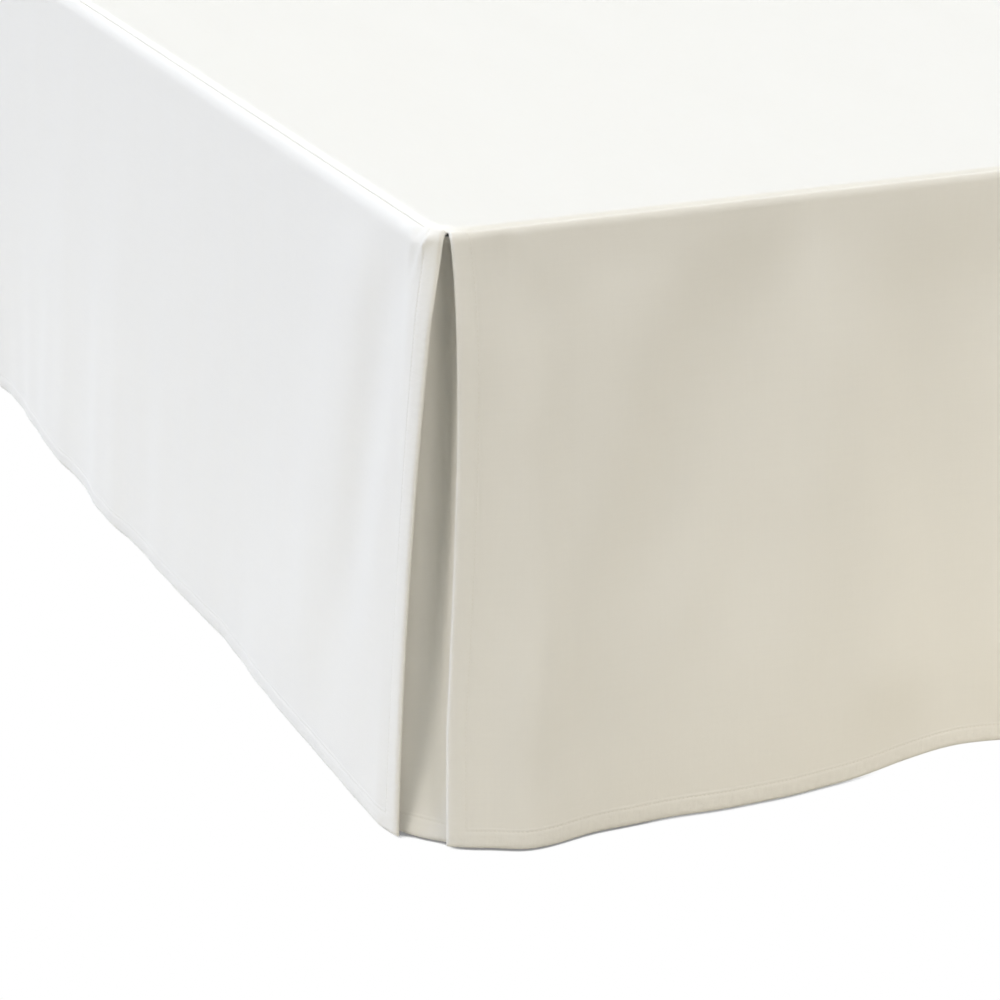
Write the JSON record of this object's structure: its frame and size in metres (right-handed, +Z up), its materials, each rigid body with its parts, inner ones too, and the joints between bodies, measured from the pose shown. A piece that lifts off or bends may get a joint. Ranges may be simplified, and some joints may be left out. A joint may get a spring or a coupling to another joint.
{
  "type": "bed skirt on a bed base",
  "caption": "Tailored ivory bed skirt with hemmed side and foot panels, split corners and inset panels, hanging from a flat deck cloth on a plain bed base with turned legs.",
  "frame": {"origin": "on the floor under the middle of the whole, halfway across and halfway along", "axes": "+Z up, +Y to the head of the bed, so the foot panel faces -Y and the left panel faces -X"},
  "size_m": [1.593, 2.0659, 0.383],
  "materials": {
    "skirt_cotton": "plain woven ivory cotton, smooth",
    "base_ticking": "plain off-white ticking",
    "leg_wood": "dark stained, satin"
  },
  "bodies": {
    "root": {"deck": "skirt_cotton", "foot_drop": "skirt_cotton", "side_drop_left": "skirt_cotton", "side_drop_right": "skirt_cotton", "corner_inset_left": "skirt_cotton", "corner_inset_right": "skirt_cotton", "bed_base": "base_ticking", "leg_1": "leg_wood", "leg_2": "leg_wood", "leg_3": "leg_wood", "leg_4": "leg_wood", "leg_5": "leg_wood", "leg_6": "leg_wood"}
  },
  "joints": []
}
